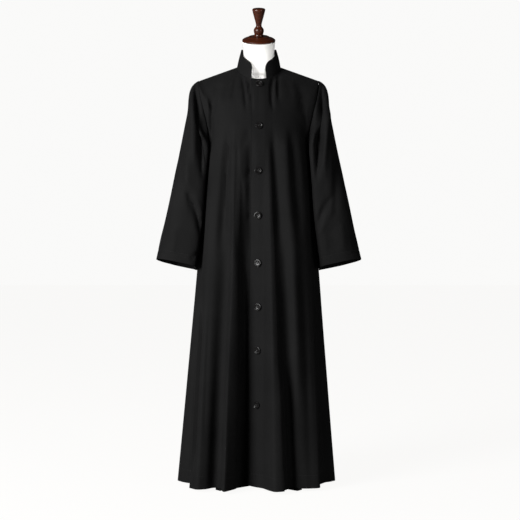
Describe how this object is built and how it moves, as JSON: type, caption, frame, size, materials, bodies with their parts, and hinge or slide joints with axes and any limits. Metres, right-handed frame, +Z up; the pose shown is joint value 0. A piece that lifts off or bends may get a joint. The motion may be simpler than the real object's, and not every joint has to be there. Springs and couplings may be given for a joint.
{
  "type": "cassock on dress form",
  "caption": "Long black cassock, buttoned down the front with a standing collar and wide set-in sleeves, worn by a limbless dress form on a hidden pole stand.",
  "frame": {"origin": "on the floor, at the middle of the underside of the base hub, straight under the pole", "axes": "+Z up, the front of the garment faces -Y, +X is the wearer's left"},
  "size_m": [0.696, 0.3872, 1.6096],
  "materials": {
    "cloth": "matte black wool twill with a faint soft sheen",
    "buttons": "glossy black",
    "form_cover": "plain cream cotton jersey",
    "wood": "polished dark red-brown turned wood",
    "stand_metal": "black satin paint"
  },
  "bodies": {
    "root": {"front_left": "cloth", "front_right": "cloth", "back_left": "cloth", "back_right": "cloth", "sleeve_left": "cloth", "sleeve_right": "cloth", "collar": "cloth", "button_1": "buttons", "button_2": "buttons", "button_3": "buttons", "button_4": "buttons", "button_5": "buttons", "button_6": "buttons", "button_7": "buttons", "button_8": "buttons", "torso": "form_cover", "neck_cap": "wood", "finial": "wood", "pole": "stand_metal", "base_hub": "stand_metal", "base_leg_1": "stand_metal", "base_leg_2": "stand_metal", "base_leg_3": "stand_metal", "base_leg_4": "stand_metal"}
  },
  "joints": []
}
